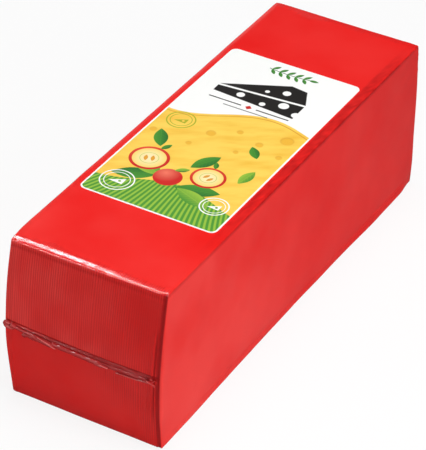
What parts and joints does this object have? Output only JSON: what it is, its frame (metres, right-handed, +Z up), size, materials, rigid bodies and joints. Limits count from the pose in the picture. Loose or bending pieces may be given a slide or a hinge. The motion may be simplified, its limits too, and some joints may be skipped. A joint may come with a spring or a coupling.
{
  "type": "wax-red film-wrapped gouda-style cheese loaf",
  "caption": "Long rectangular loaf of semi-hard cheese, shrink-wrapped in glossy red film with a folded heat seal across each end and a printed paper label on top",
  "frame": {"origin": "under the middle of the loaf, on the plane that it rests on", "axes": "+Z up, +Y along the loaf from its near end to its far end, +X to the right"},
  "size_m": [0.102, 0.3226, 0.1047],
  "materials": {
    "red_film": "tight glossy red shrink film over cheese, soft creases and fine gathers at the ends",
    "seal_film": "several layers of the same film welded and folded flat, darker red with pale crumpled ridges",
    "label_paper": null
  },
  "bodies": {
    "root": {"wrapped_block": "red_film", "near_end_seal": "seal_film", "far_end_seal": "seal_film", "top_label": "label_paper"}
  },
  "joints": []
}
